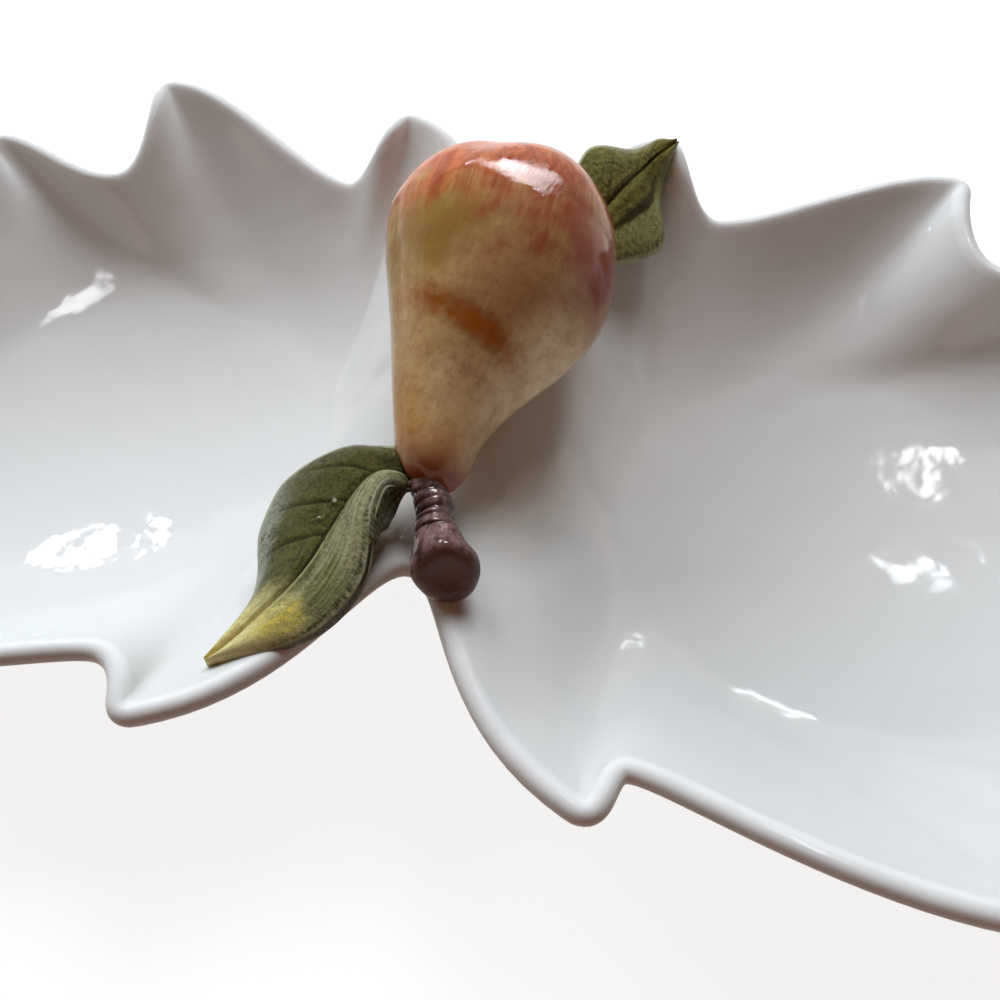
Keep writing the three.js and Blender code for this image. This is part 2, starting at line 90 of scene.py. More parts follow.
def fan(pole, row, count):
    return [(pole, row + i, row + (i + 1) % count) for i in range(count)]


def joinRows(rowCount, count):  # all rows, closed at both ends on the two points after them
    faces = fan(rowCount * count, 0, count)
    for row in range(rowCount - 1):
        faces += bridge(row * count, (row + 1) * count, count)
    return faces + fan(rowCount * count + 1, (rowCount - 1) * count, count)


def relax(points, faces, rounds):  # softens ridges without shrinking the piece
    shrink, regrow = 0.5, -0.52
    edges = np.array([(a, b) for face in faces for a, b in zip(face, face[1:] + face[:1])])
    ends = np.vstack([edges, edges[:, ::-1]])
    count = np.maximum(np.bincount(ends[:, 0], minlength=len(points)), 1)[:, None]
    for share in (shrink, regrow) * rounds:
        mean = np.stack([np.bincount(ends[:, 0], points[ends[:, 1], k], len(points)) for k in range(3)], 1) / count
        points = points + (mean - points) * share
    return points


def addObject(name, data):
    made = bpy.data.objects.new(name, data)
    bpy.context.scene.collection.objects.link(made)
    return made


def clayPiece(name, points, faces, material, maps):
    mesh = bpy.data.meshes.new(name)
    mesh.from_pydata(((points + frameShift) * mm).tolist(), [], faces)
    corners = np.zeros(len(mesh.loops), np.int32)
    mesh.loops.foreach_get("vertex_index", corners)
    for mapName, values in maps.items():
        layer = mesh.uv_layers.new(name=mapName)
        layer.data.foreach_set("uv", values[corners].astype(np.float32).ravel())
    work = bmesh.new()
    work.from_mesh(mesh)
    bmesh.ops.delete(work, geom=[v for v in work.verts if not v.link_faces], context="VERTS")
    bmesh.ops.recalc_face_normals(work, faces=work.faces)
    work.to_mesh(mesh)
    work.free()
    mesh.polygons.foreach_set("use_smooth", np.ones(len(mesh.polygons), bool))
    mesh.materials.append(material)
    piece = addObject(name, mesh)
    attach(piece, "root")
    print(name, "made with", len(mesh.polygons), "faces")
    return piece


# Materials: small helpers, then the effects that several glazes share

glazeIor = 1.48


def tone(red, green, blue):  # colour as mixed on a screen, 0 to 255
    parts = [v / 255 for v in (red, green, blue)]
    return tuple(v / 12.92 if v <= 0.04045 else ((v + 0.055) / 1.055) ** 2.4 for v in parts) + (1.0,)


def feed(socket, value):  # by a link or a fixed value
    if isinstance(value, bpy.types.NodeSocket):
        socket.id_data.links.new(value, socket)
    else:
        socket.default_value = value


def put(kind, links, **settings):  # a node in the tree of the sockets that it links to
    tree = next(v.id_data for v in links.values() if isinstance(v, bpy.types.NodeSocket))
    node = tree.nodes.new(kind)
    for name, value in settings.items():
        setattr(node, name, value)
    for socket, value in links.items():
        feed(node.inputs[socket], value)
    return node


def math2(operation, a, b, c=0.0):
    return put("ShaderNodeMath", {0: a, 1: b, 2: c}, operation=operation).outputs[0]


def times(a, b):
    return math2("MULTIPLY", a, b)


def addTimes(a, b, c):  # a times b, plus c
    return math2("MULTIPLY_ADD", a, b, c)


def vectorMath(operation, a, b=(0, 0, 0)):
    return put("ShaderNodeVectorMath", {0: a, 1: b}, operation=operation).outputs


def spread(value, low, high, toLow=0.0, toHigh=1.0):  # smooth step from low to high
    links = {"Value": value, "From Min": low, "From Max": high, "To Min": toLow, "To Max": toHigh}
    return put("ShaderNodeMapRange", links, interpolation_type="SMOOTHSTEP").outputs["Result"]


def noise(place, scale, detail, roughness=0.5, distortion=0.0):
    links = {"Vector": place, "Scale": scale, "Detail": detail, "Roughness": roughness, "Distortion": distortion}
    return put("ShaderNodeTexNoise", links).outputs["Fac"]


def axes(vector):
    return put("ShaderNodeSeparateXYZ", {"Vector": vector}).outputs


def mapParts(place, name):  # the two values that a piece stores in one of its maps
    stored = place.id_data.nodes.new("ShaderNodeUVMap")
    stored.uv_map = name
    return axes(stored.outputs["UV"])


def blendColour(share, under, over):
    return put("ShaderNodeMix", {0: share, 6: under, 7: over}, data_type="RGBA").outputs[2]


def newGroup(name, inputs, output):  # an input without a number is a vector
    tree = bpy.data.node_groups.new(name, "ShaderNodeTree")
    for socket, value in inputs.items():
        kind = "NodeSocketVector" if value is None else "NodeSocketFloat"
        made = tree.interface.new_socket(name=socket, in_out="INPUT", socket_type=kind)
        if value is not None:
            made.default_value = value
    tree.interface.new_socket(name=output, in_out="OUTPUT", socket_type="NodeSocketFloat")
    return tree, tree.nodes.new("NodeGroupInput").outputs, tree.nodes.new("NodeGroupOutput").inputs[output]


def useGroup(group, **links):
    return put("ShaderNodeGroup", links, node_tree=group).outputs[0]


def makeGlazeSurface():  # slow waves and fine peel of a melted glaze
    inputs = {"Place": None, "Wave": 40.0, "Peel": 500.0, "PeelShare": 0.1}
    tree, given, result = newGroup("glazeSurface", inputs, "Height")
    wave, peel = (noise(given["Place"], given[scale], 2.0) for scale in ("Wave", "Peel"))
    tree.links.new(addTimes(peel, given["PeelShare"], wave), result)
    return tree


def makeKilnSpecks():  # scattered pinholes and iron specks
    inputs = {"Place": None, "Spacing": 60.0, "Size": 0.06, "Kept": 0.2}
    tree, given, result = newGroup("kilnSpecks", inputs, "Mask")
    cells = put("ShaderNodeTexVoronoi", {"Vector": given["Place"], "Scale": given["Spacing"]}).outputs
    dot = spread(cells["Distance"], 0.0, given["Size"], 1.0, 0.0)
    chance = put("ShaderNodeSeparateColor", {"Color": cells["Color"]}).outputs["Red"]
    kept = math2("LESS_THAN", chance, given["Kept"])
    tree.links.new(times(dot, kept), result)
    return tree


def makePaintPatch():  # soft brushed patch: Place holds side, top and along
    grainShape, wobbleReach = (1, 1, 3), 10.0
    inputs = {"Place": None, "Centre": None, "Size": None, "Slope": 0.0, "Softness": 0.6, "Wobble": 0.1,
              "Grain": 4.0, "Amount": 1.0}
    tree, given, result = newGroup("paintPatch", inputs, "Mask")
    even = vectorMath("MULTIPLY", given["Place"], grainShape)[0]
    shake = math2("SUBTRACT", noise(even, given["Grain"], 5.0), 0.5)
    parts = axes(given["Place"])
    slid = addTimes(parts["X"], times(given["Slope"], -1.0), parts["Z"])
    turned = put("ShaderNodeCombineXYZ", {"X": parts["X"], "Y": parts["Y"], "Z": slid}).outputs[0]
    offset = vectorMath("SUBTRACT", turned, given["Centre"])[0]
    scaled = vectorMath("DIVIDE", offset, given["Size"])[0]
    reach = vectorMath("LENGTH", scaled)["Value"]
    reach = addTimes(shake, times(given["Wobble"], wobbleReach), reach)
    mask = spread(reach, math2("SUBTRACT", 1.0, given["Softness"]), 1.0, 1.0, 0.0)
    tree.links.new(times(mask, given["Amount"]), result)
    return tree


def makeBrushStreaks():  # fine strokes along one way of a stretched place
    inputs = {"Place": None, "Stretch": None, "Sharpness": 0.2}
    tree, given, result = newGroup("brushStreaks", inputs, "Mask")
    stretched = vectorMath("MULTIPLY", given["Place"], given["Stretch"])[0]
    hairs = noise(stretched, 1.0, 5.0, 0.65, 0.25)
    half = times(given["Sharpness"], 0.5)
    low, high = (math2(way, 0.5, half) for way in ("SUBTRACT", "ADD"))
    tree.links.new(spread(hairs, low, high), result)
    return tree


glazeSurface = makeGlazeSurface()
kilnSpecks = makeKilnSpecks()
paintPatch = makePaintPatch()
brushStreaks = makeBrushStreaks()


def newGlaze(name):
    material = bpy.data.materials.new(name)
    material.use_nodes = True
    tree = material.node_tree
    shader = tree.nodes["Principled BSDF"]
    shader.inputs["IOR"].default_value = glazeIor
    place = tree.nodes.new("ShaderNodeTexCoord").outputs["Object"]
    return material, shader, place


def finishGlaze(shader, place, glaze, colour, roughness, marks=None):  # marks stand out or are pressed in
    height = useGroup(glazeSurface, Place=place, **glaze["surface"])
    if marks is not None:
        height = addTimes(marks, glaze["markHeight"], height)
    depth, strength = glaze["relief"]
    links = {"Height": height, "Distance": depth, "Strength": strength}
    bump = put("ShaderNodeBump", links).outputs["Normal"]
    looks = {"Base Color": colour, "Roughness": roughness, "Specular IOR Level": glaze["shine"], "Normal": bump}
    for socket, value in looks.items():
        feed(shader.inputs[socket], value)


def coats(glaze, colour, *layers):  # each layer: its share, and its colour's name in the glaze
    for share, name in layers:
        colour = blendColour(share, colour, glaze[name])
    return colour


def patch(colour, centre, size, softness=0.6, wobble=0.1, slope=0.0, grain=4.0, amount=1.0):
    return colour, {"Centre": centre, "Size": size, "Softness": softness, "Wobble": wobble, "Slope": slope,
                    "Grain": grain, "Amount": amount}


def paintOver(under, place, patches):
    for colour, shape in patches:
        under = blendColour(useGroup(paintPatch, Place=place, **shape), under, colour)
    return under


# White leaf dish

whiteGlaze = {
    "body": tone(221, 219, 215), "shade": tone(208, 208, 206), "shadeShare": 0.1, "cloudScale": 16.0,
    "paleMarginAndRimHighlight": tone(236, 234, 230), "rimHighlightFrom": 0.97,  # painted highlight over the top of the rim, from this share of the wall
    "speck": tone(120, 104, 92), "speckShare": 0.7, "markHeight": -0.4,  # specks sit in pits
    "specks": {"Spacing": 70.0, "Size": 0.05, "Kept": 0.05},
    "bareClay": tone(196, 180, 158), "bareHeight": (0.0009, 0.0013), "bareWobble": 0.0008,  # dry foot rings, metres
    "bareRoughness": 0.7, "roughness": (0.05, 0.1), "shine": 0.5, "relief": (0.0009, 0.8),
    "surface": {"Wave": 45.0, "Peel": 130.0, "PeelShare": 0.15},
}


def makeWhiteGlaze():
    glaze = whiteGlaze
    material, shader, place = newGlaze("whiteGlaze")
    cloud = noise(place, glaze["cloudScale"], 3.0)
    wall = mapParts(place, "wallMap")  # share of the wall's height, and 1 on the inside
    # painted highlight: a paler line over the top of the rim, broken up by the cloud
    rim = times(spread(wall["X"], glaze["rimHighlightFrom"], 1.0), spread(wall["Y"], 0.3, 0.5))
    rim = times(rim, spread(cloud, 0.3, 0.65, 0.6, 1.0))
    shade = spread(cloud, 0.35, 0.7, 0.0, glaze["shadeShare"])
    specks = useGroup(kilnSpecks, Place=place, **glaze["specks"])
    height = addTimes(cloud, glaze["bareWobble"], axes(place)["Z"])
    bare = spread(height, *glaze["bareHeight"], 1.0, 0.0)
    colour = coats(glaze, glaze["body"], (rim, "paleMarginAndRimHighlight"), (shade, "shade"),
                   (times(specks, glaze["speckShare"]), "speck"), (bare, "bareClay"))
    rough = addTimes(bare, glaze["bareRoughness"], spread(cloud, 0.3, 0.7, *glaze["roughness"]))
    finishGlaze(shader, place, glaze, colour, rough, specks)
    return material


dish = {
    "leafLength": 191, "nearDepth": 89, "farDepth": 100,
    "wall": 5, "rimWall": 4.6, "rimHeight": 44, "footHeight": 3,
    "floorCentre": (0.513 * 191, 0), "floorSize": (0.586 * 191, 98), "floorDish": 9,
    "wallFlare": 2.2, "tipRounding": 4, "sideBulge": 0.3, "sideLean": 0.35,
    "creaseSpread": 30, "creaseLeast": 0.5, "creaseFade": 0.8, "creaseLean": 40, "ridgeSag": 11,
    "nearEdge": {"notch": -0.484 * 89, "notchHalfWidth": 11.5, "dipHandle": 9, "baseBulge": 0.49, "slopeBulge": 0.366},
    "farEdge": {"notch": 0.62 * 100, "notchHalfWidth": 6, "dipHandle": 14, "baseBulge": 0.4, "slopeBulge": 0.253},
    "nearTeeth": {  # tip, lift, and the dip after it
        "left": [((0.246, 0.996), 0.038, (0.309, 0.85)), ((0.676, 1), 0.107, (0.722, 0.776)),
                 ((0.906, 0.752), 0.16, (0.9, 0.517))],
        "right": [((0.246, 0.996), 0.038, (0.279, 0.873)), ((0.676, 1), 0.107, (0.722, 0.776)),
                  ((0.906, 0.752), 0.16, (0.9, 0.517))]},
    "farTeeth": {
        "left": [((0.2, 0.941), 0.334, (0.286, 0.79)), ((0.622, 1), 0.313, (0.664, 0.723)),
                 ((0.9, 0.72), 0.16, (0.895, 0.49))],
        "right": [((0.2, 0.941), 0.334, (0.286, 0.79)), ((0.622, 1), 0.127, (0.664, 0.723)),
                  ((0.9, 0.72), 0.16, (0.895, 0.49))]},
    "apexLift": 0.205,
    "footShare": 0.68,  # outside of the foot ring on the floor; then its profile: inset, share of its height
    "footProfile": [(-1.2, 1), (-0.5, 0.96), (-0.1, 0.85), (0.8, 0.2), (1.1, 0.06), (1.6, 0.01), (2.2, 0),
                    (5.2, 0), (5.8, 0.01), (6.3, 0.06), (6.6, 0.2), (7.5, 0.85), (7.9, 0.96), (8.6, 1)],
    "handWave": 0.25, "waveLength": 90, "waveSeed": 4,  # mm of unevenness in the walls
    "waveFrom": (6, 14), "waveWay": (0.4, 0.4, 1),  # it grows between these heights, mostly up and down
    "steps": {"slope": 20, "tip": 8, "side": 12, "ridge": 30, "wall": 30, "roll": 10},
    "floorRings": (0.1, 0.25, 0.4, 0.55, 0.7, 0.85),
    "softening": 5,
}


def leafPlace(share, reach, lift=0.0):
    return np.array([share[0] * dish["leafLength"], share[1] * reach, dish["rimHeight"] * (1 + lift)])


def leafEdge(line, teeth, reach):
    steps = dish["steps"]
    tips = [leafPlace(tip, reach, lift) for tip, lift, dip in teeth] + [leafPlace((1, 0), reach, dish["apexLift"])]
    start = np.array([0, line["notch"], dish["rimHeight"]])
    heading, handle, bulge = np.array([1.0, 0, 0]), line["notchHalfWidth"], line["baseBulge"]
    lines = []
    for i, tip in enumerate(tips):
        isApex = i == len(teeth)
        slope = np.linalg.norm(tip - start)
        onward = np.zeros(3) if isApex else flat(tips[i + 1] - tip)
        arrive = unit(flat(tip - start) + onward)
        tipStart = tip - arrive * dish["tipRounding"]
        controls = [start, start + heading * handle, tipStart - arrive * slope * bulge, tipStart]
        lines.append(bezier(controls, steps["slope"])[:-1])
        if isApex:
            break
        dip = leafPlace(teeth[i][2], reach)
        inward = np.array([0, -np.sign(reach), 0])
        leave = unit(unit(inward - onward * (inward @ onward)) + onward * dish["sideLean"])
        tipEnd = tip + leave * dish["tipRounding"]
        side = np.linalg.norm(dip - tip) * dish["sideBulge"]
        lines.append(bezier([tipStart, tip, tipEnd], steps["tip"])[:-1])
        lines.append(bezier([tipEnd, tipEnd + leave * side, dip - onward * side, dip], steps["side"])[:-1])
        start, heading, handle, bulge = dip, onward, line["dipHandle"], line["slopeBulge"]
    return np.vstack(lines + [tipStart])


def rimLoop(side):
    nearTeeth, farTeeth = dish["nearTeeth"][side], dish["farTeeth"][side]
    near = leafEdge(dish["nearEdge"], nearTeeth, -dish["nearDepth"])
    far = leafEdge(dish["farEdge"], farTeeth, dish["farDepth"])[::-1]
    turn = bezier([near[-1], leafPlace((1, 0), 0, dish["apexLift"]), far[0]], dish["steps"]["tip"])[1:-1]
    third = (far[-1][1] - near[0][1]) / 3
    sag = np.array([0, -third, -dish["ridgeSag"]])
    ridge = bezier([far[-1], far[-1] + sag, near[0] + sag * (1, -1, 1), near[0]], dish["steps"]["ridge"])[1:-1]
    places = np.vstack([near, turn, far, ridge])
    fade = [1 - ease(line[:, 0], 0, teeth[0][0][0] * dish["leafLength"])
            for line, teeth in ((near, nearTeeth), (far, farTeeth))]
    weight = np.concatenate([fade[0], np.zeros(len(turn)), fade[1], np.ones(len(ridge))])
    onRidge = np.abs(places[:, 0]) < 1e-6
    return places, weight, onRidge


def evenRim(places, spreading):  # the rim with its teeth evened out, and the floor's edge below each place
    middle = np.array(dish["floorCentre"])
    reached = np.concatenate([[0], np.cumsum(np.linalg.norm(np.diff(places, axis=0), axis=1))])
    total = reached[-1] + np.linalg.norm(places[0] - places[-1])
    bearing = np.unwrap(np.arctan2(places[:, 1] - middle[1], places[:, 0] - middle[0]))
    gap = reached[None, :] - reached[:, None]
    turns = np.round(gap / total)
    length = np.append(reached[1:], total) - np.insert(reached[:-1], 0, reached[-1] - total)
    weight = np.exp(-((gap - turns * total) / spreading) ** 2) * length
    weight /= weight.sum(axis=1, keepdims=True)
    bearing = (weight * (bearing[None, :] - turns * 2 * math.pi)).sum(axis=1)
    bearing = bearing + math.radians(dish["creaseLean"]) * np.sin(bearing)
    size = np.array(dish["floorSize"]) / 2
    floor = np.stack([middle[0] + size[0] * np.cos(bearing), middle[1] + size[1] * np.sin(bearing),
                      np.full(len(places), floorHeight(1))], 1)
    return weight @ places, floor


def floorHeight(share):  # middle of the clay of the dished floor
    return dish["footHeight"] + dish["wall"] / 2 + dish["floorDish"] * share * share


def floorSlope(spots):
    offset = spots - np.append(dish["floorCentre"], 0)
    return 2 * dish["floorDish"] * offset * np.array([1, 1, 0]) / (np.append(dish["floorSize"], 2) / 2) ** 2


def floorFacing(spots):
    return unit(np.array([0, 0, 1]) - floorSlope(spots))


def bowlRows(side):
    steps = dish["steps"]
    places, ridge, onRidge = rimLoop(side)
    even, floor = evenRim(places, dish["creaseSpread"])
    shares = np.linspace(0, 1, steps["wall"] + 1)
    takenOver = (floorSlope(floor) * (even - floor)).sum(axis=1) / (even[:, 2] - floor[:, 2])
    middle = []
    for share in shares:
        spreading = dish["creaseLeast"] + dish["creaseSpread"] * (1 - share) ** dish["creaseFade"]
        edge = places if share == 1 else evenRim(places, spreading)[0]
        bowlCurve = share ** dish["wallFlare"] * (1 - takenOver) + share * takenOver
        ridgeCurl = share * share * (3 - 2 * share) + takenOver * share * (1 - share) ** 2
        climb = bowlCurve * (1 - ridge) + ridgeCurl * ridge
        row = floor + (edge - floor) * share
        row[:, 2] = floor[:, 2] + (edge[:, 2] - floor[:, 2]) * climb
        middle.append(row)
    middle = np.array(middle)
    across = np.roll(middle, -1, axis=1) - np.roll(middle, 1, axis=1)
    upward = np.concatenate([middle[1:2] - middle[:1], middle[2:] - middle[:-2], middle[-1:] - middle[-2:-1]])
    facing = unit(np.cross(upward, across))
    facing[0] = floorFacing(floor)
    line = across[-1].copy()  # on the crest both bowls face the same way
    line[:, 0] = 0
    crest = unit(np.cross(line, [1.0, 0, 0]))
    crest *= np.sign(crest[:, 2:])
    facing[-1][onRidge] = crest[onRidge]
    half = (dish["wall"] + (dish["rimWall"] - dish["wall"]) * shares[:, None] * (1 - ridge)) / 2
    inside, outside = middle + facing * half[:, :, None], middle - facing * half[:, :, None]
    outward = np.cross(across[-1], facing[-1])
    outward[onRidge, 0] = 0
    outward = unit(outward)
    angles = np.linspace(0, math.pi, steps["roll"] + 1)[1:-1]
    size = half[-1][:, None]
    roll = [middle[-1] + facing[-1] * size * math.cos(a) + outward * size * math.sin(a) for a in angles]
    depth = dish["wall"] / 2
    centre = np.append(dish["floorCentre"], 0)
    spokes = (floor - centre) * (1, 1, 0)

    def onFloor(share):  # share may differ from spoke to spoke
        share = np.broadcast_to(np.reshape(share, (-1, 1)), (len(floor), 1))
        return centre + spokes * share + floorHeight(share) * np.array([0, 0, 1])

    rings = [onFloor(k) for k in dish["floorRings"]]
    rings = [ring + floorFacing(ring) * depth for ring in rings]
    reach = np.linalg.norm(spokes, axis=1)
    foot = []
    for inset, height in dish["footProfile"]:
        row = onFloor(dish["footShare"] - inset / reach)
        row[:, 2] = (row[:, 2] - depth) * height
        foot.append(row)
    inner = (dish["footShare"] - dish["footProfile"][-1][0] / reach)[:, None]
    under = [onFloor(inner * k) - (0, 0, depth) for k in dish["floorRings"][::-1]]
    rows = rings + list(inside) + roll + list(outside[::-1]) + foot + under
    below = [0] * (len(foot) + len(under))
    wallShare = [0] * len(rings) + list(shares) + [1] * len(roll) + list(shares[::-1]) + below
    isInside = [1] * (len(rings) + len(shares)) + [0.5] * len(roll) + [0] * len(shares) + below
    edgeRows = (len(rings) + steps["wall"], len(rings) + len(inside) + len(roll))
    poles = [centre + (0, 0, floorHeight(0) + depth), centre + (0, 0, floorHeight(0) - depth)]
    return np.array(rows), wallShare, isInside, edgeRows, onRidge, np.array(poles)


def makeDish(material):
    allPoints, allFaces, allMaps = [], [], []
    for side, flip in (("right", 1), ("left", -1)):
        rows, wallShare, isInside, edgeRows, onRidge, poles = bowlRows(side)
        rowCount, count = rows.shape[:2]
        start = 0 if side == "right" else len(allPoints[0])
        points = np.vstack([rows.reshape(-1, 3), poles]) * (flip, 1, 1)
        index = np.arange(len(points)) + start
        if side == "left":  # both bowls share the crest
            for row in range(edgeRows[0], edgeRows[1] + 1):
                shared = row * count + np.where(onRidge)[0]
                index[shared] = shared
        faces = []
        for row in range(rowCount - 1):
            quads = bridge(row * count, (row + 1) * count, count)
            if edgeRows[0] <= row < edgeRows[1]:
                quads = [q for i, q in enumerate(quads) if not (onRidge[i] and onRidge[(i + 1) % count])]
            faces += quads
        faces += fan(len(points) - 2, 0, count) + fan(len(points) - 1, (rowCount - 1) * count, count)
        allFaces += [tuple(int(index[i]) for i in (face if flip > 0 else face[::-1])) for face in faces]
        maps = np.stack([np.repeat(wallShare, count), np.repeat(isInside, count)], 1)
        allMaps.append(np.vstack([maps, [[0, 1], [0, 0]]]))
        allPoints.append(points)
    points = relax(np.vstack(allPoints), allFaces, dish["softening"])
    wave = unevenness(points, dish["waveLength"], dish["waveSeed"])[:, None] * dish["handWave"]
    wave = wave * ease(points[:, 2:], *dish["waveFrom"])
    points = points + wave * unit(points * dish["waveWay"])
    points[:, 2] = np.maximum(points[:, 2], 0)
    piece = clayPiece("leafDish", points, allFaces, material, {"wallMap": np.vstack(allMaps)})
    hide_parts("left_leaf_bowl", "right_leaf_bowl")


makeDish(makeWhiteGlaze())


# Pear on the ridge

pear = {
    "length": 92, "radius": 28.5, "belly": 27,
    "neck": 8, "neckRound": 7, "neckTaper": 9,  # the neck's end rounds in over its last mm
    "seat": (3.3, 34.5), "sink": 4.5, "droop": 9, "swing": 1.4, "lean": 2,
    "dimpleRadius": 9, "dimpleDepth": 5,
    "lobes": 5, "lobeDepth": 0.55, "lobeReach": 1.3, "lobeFrom": 12,  # soft lobes round the blossom end
    "dents": [(92, 5, 1.6, 11), (100, 15, 0.9, 7),  # bearing, distance, depth, width
              (74, 22, 0.7, 8), (118, 24, 0.6, 7)],
    "handWave": 0.4, "waveLength": 55, "waveSeed": 11, "waveFrom": (6, 16),
    "around": 176, "along": 150,
}

pearGlaze = {
    "cream": tone(202, 164, 108),
    "stroke": tone(146, 88, 54), "strokeTurn": 35, "strokeShare": 0.28, "markHeight": 0.06,
    "strokes": {"Stretch": (46.0, 12.0, 11.0), "Sharpness": 0.4},
    "grain": tone(150, 92, 54), "grainScale": 420.0, "grainShare": 0.5,
    "mottle": tone(164, 120, 84), "mottleScale": 110.0, "mottleShare": 0.4,
    "speck": tone(112, 70, 40), "speckShare": 0.5, "specks": {"Spacing": 9.0, "Size": 0.08, "Kept": 0.25},
    "hair": tone(150, 56, 32), "hairs": {"Stretch": (15.0, 15.0, 2.0), "Sharpness": 0.16},  # red strokes in the blush
    "blush": {"Centre": (0.2, 0.6, 0.24), "Size": (1.5, 1.5, 0.3), "Softness": 0.8, "Wobble": 0.1, "Amount": 0.7},
    "roughness": (0.04, 0.09), "shine": 0.4, "relief": (0.0006, 0.9),
    "surface": {"Wave": 60.0, "Peel": 700.0, "PeelShare": 0.05},
    "patches": [
        patch(tone(164, 128, 62), (-0.3, 0.75, 0.43), (0.85, 0.8, 0.17), 0.7, 0.12),
        patch(tone(198, 150, 102), (0.38, 0.7, 0.54), (0.6, 0.7, 0.17), 0.7, 0.14),
        patch(tone(230, 196, 144), (0.2, 0.45, 0.78), (0.5, 0.5, 0.12), 0.6, 0.12),
        patch(tone(188, 140, 74), (-0.4, 0.3, 0.86), (0.35, 0.5, 0.13), 0.8, 0.16),
        patch(tone(206, 108, 68), (-0.1, 0.3, 0.02), (1.7, 2.2, 0.44), 0.5, 0.09),
        patch(tone(166, 92, 62), (0.35, 0.85, 0.34), (0.75, 0.8, 0.15), 0.85, 0.16, amount=0.5),
        patch(tone(152, 64, 42), (0.95, 0.35, 0.36), (0.66, 0.9, 0.22), 0.75),
        patch(tone(242, 212, 160), (0.75, 0.1, 0.68), (0.6, 0.9, 0.2), 0.8),
        patch(tone(156, 86, 24), (-0.05, 0.55, 0.63), (0.8, 0.9, 0.055), 0.95, slope=0.1, grain=12.0),
        patch(tone(180, 98, 24), (0.22, 0.5, 0.635), (0.36, 0.7, 0.05), 0.95, 0.12, slope=0.1, grain=16.0),
        patch(tone(150, 76, 54), (0.0, 0.1, 1.0), (0.6, 0.6, 0.15), 0.8, 0.08),
        patch(tone(84, 58, 38), (0.0, 0.0, 0.05), (0.2, 0.2, 0.05), 0.4),
    ],
}


def pearRadius(distance):
    d = pear
    base = d["radius"] * np.sqrt(np.maximum(0, 1 - (1 - np.minimum(distance, d["belly"]) / d["belly"]) ** 2))
    share = np.clip((distance - d["belly"]) / (d["length"] - d["belly"]), 0, 1)
    line = d["neck"] + (d["radius"] - d["neck"]) * (0.5 + 0.5 * np.cos(math.pi * share))
    past = np.clip(1 - (d["length"] - distance) / d["neckTaper"], 0, 1)
    line = line - d["neckRound"] * (1 - np.sqrt(1 - past * past))
    return np.where(distance < d["belly"], base, line), d["lean"] * np.sin(2 * math.pi * share)


pearDroop, pearSwing = math.pi / 2 + math.radians(pear["droop"]), -math.radians(pear["swing"])


def pearFrame():  # turns the pear's own axes (right, up, towards the neck) into the dish's
    turn = np.array(Matrix.Rotation(pearSwing, 3, "Z") @ Matrix.Rotation(pearDroop, 3, "X"))
    far, near = dish["farEdge"]["notch"], dish["nearEdge"]["notch"]
    share = (far - pear["seat"][1]) / (far - near)
    crest = dish["rimHeight"] - 3 * share * (1 - share) * dish["ridgeSag"] + dish["wall"] / 2
    belly = np.array([*pear["seat"], crest + pear["radius"] - pear["sink"]])
    return turn, belly - turn[:, 2] * pear["belly"]


pearTurn, pearStart = pearFrame()
neckEnd = pearStart + pearTurn[:, 2] * pear["length"]


def makePearGlaze():
    glaze = pearGlaze
    material, shader, place = newGlaze("pearGlaze")
    links = {"Vector": place, "Location": Vector((pearStart + frameShift) * mm), "Rotation": (pearDroop, 0, pearSwing),
             "Scale": (pear["radius"] * mm, pear["radius"] * mm, pear["length"] * mm)}
    own = put("ShaderNodeMapping", links, vector_type="TEXTURE").outputs["Vector"]
    colour = paintOver(glaze["cream"], own, glaze["patches"])
    hairs = useGroup(brushStreaks, Place=own, **glaze["hairs"])
    blush = useGroup(paintPatch, Place=own, **glaze["blush"])
    cloud = noise(place, glaze["mottleScale"], 6.0, 0.65)
    turn = (0, math.radians(glaze["strokeTurn"]), 0)
    turned = put("ShaderNodeMapping", {"Vector": own, "Rotation": turn}).outputs[0]
    strokes = useGroup(brushStreaks, Place=turned, **glaze["strokes"])
    strokes = times(strokes, spread(cloud, 0.4, 0.6))
    grain = noise(place, glaze["grainScale"], 7.0, 0.7)
    specks = useGroup(kilnSpecks, Place=own, **glaze["specks"])
    colour = coats(glaze, colour, (times(hairs, blush), "hair"),
                   (times(strokes, glaze["strokeShare"]), "stroke"),
                   (spread(grain, 0.45, 0.75, 0.0, glaze["grainShare"]), "grain"),
                   (spread(cloud, 0.5, 0.75, 0.0, glaze["mottleShare"]), "mottle"),
                   (times(specks, glaze["speckShare"]), "speck"))
    rough = spread(cloud, 0.3, 0.7, *glaze["roughness"])
    finishGlaze(shader, place, glaze, colour, rough, strokes)
    return material


